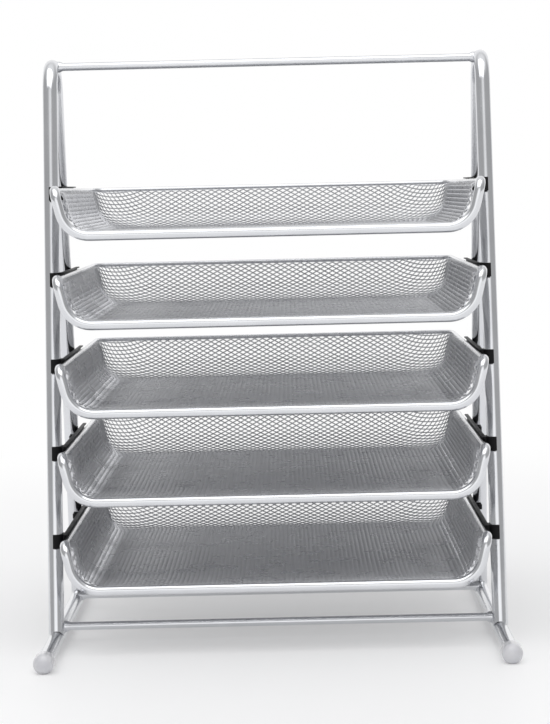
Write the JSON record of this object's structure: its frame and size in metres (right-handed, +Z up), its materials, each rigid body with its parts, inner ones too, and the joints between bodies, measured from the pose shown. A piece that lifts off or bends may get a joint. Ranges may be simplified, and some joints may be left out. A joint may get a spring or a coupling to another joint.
{
  "type": "desk tray organizer",
  "caption": "Upright desktop rack with spreading tube side frames and stacked mesh letter trays that slide forward in side rails.",
  "frame": {"origin": "centre of the bounding box at the level of the desk top", "axes": "+Z up, the open fronts of the trays face -Y, +X to the right seen from the front"},
  "size_m": [0.301, 0.3899, 0.384],
  "materials": {
    "silver_paint": "satin silver",
    "silver_mesh": "satin silver expanded mesh",
    "black_plastic": "matte",
    "pale_plastic": "smooth pale grey"
  },
  "bodies": {
    "frame": {"side_frame_left": "silver_paint", "side_frame_right": "silver_paint", "foot_tube_left": "silver_paint", "foot_tube_right": "silver_paint", "foot_cap_front_left": "pale_plastic", "foot_cap_front_right": "pale_plastic", "foot_cap_rear_left": "pale_plastic", "foot_cap_rear_right": "pale_plastic", "top_bar": "silver_paint", "front_bar": "silver_paint", "rear_bar": "silver_paint", "rail_left_1": "black_plastic", "rail_right_1": "black_plastic", "rail_left_2": "black_plastic", "rail_right_2": "black_plastic", "rail_left_3": "black_plastic", "rail_right_3": "black_plastic", "rail_left_4": "black_plastic", "rail_right_4": "black_plastic", "rail_left_5": "black_plastic", "rail_right_5": "black_plastic"},
    "tray_1": {"tray_pan_1": "silver_mesh", "tray_rim_1": "silver_paint"},
    "tray_2": {"tray_pan_2": "silver_mesh", "tray_rim_2": "silver_paint"},
    "tray_3": {"tray_pan_3": "silver_mesh", "tray_rim_3": "silver_paint"},
    "tray_4": {"tray_pan_4": "silver_mesh", "tray_rim_4": "silver_paint"},
    "tray_5": {"tray_pan_5": "silver_mesh", "tray_rim_5": "silver_paint"}
  },
  "joints": [
    {"name": "tray_1_slide", "type": "slide", "parent": "frame", "child": "tray_1", "axis": [0, -1, 0], "range_m": [0, 0.18]},
    {"name": "tray_2_slide", "type": "slide", "parent": "frame", "child": "tray_2", "axis": [0, -1, 0], "range_m": [0, 0.18]},
    {"name": "tray_3_slide", "type": "slide", "parent": "frame", "child": "tray_3", "axis": [0, -1, 0], "range_m": [0, 0.18]},
    {"name": "tray_4_slide", "type": "slide", "parent": "frame", "child": "tray_4", "axis": [0, -1, 0], "range_m": [0, 0.18]},
    {"name": "tray_5_slide", "type": "slide", "parent": "frame", "child": "tray_5", "axis": [0, -1, 0], "range_m": [0, 0.18]}
  ]
}
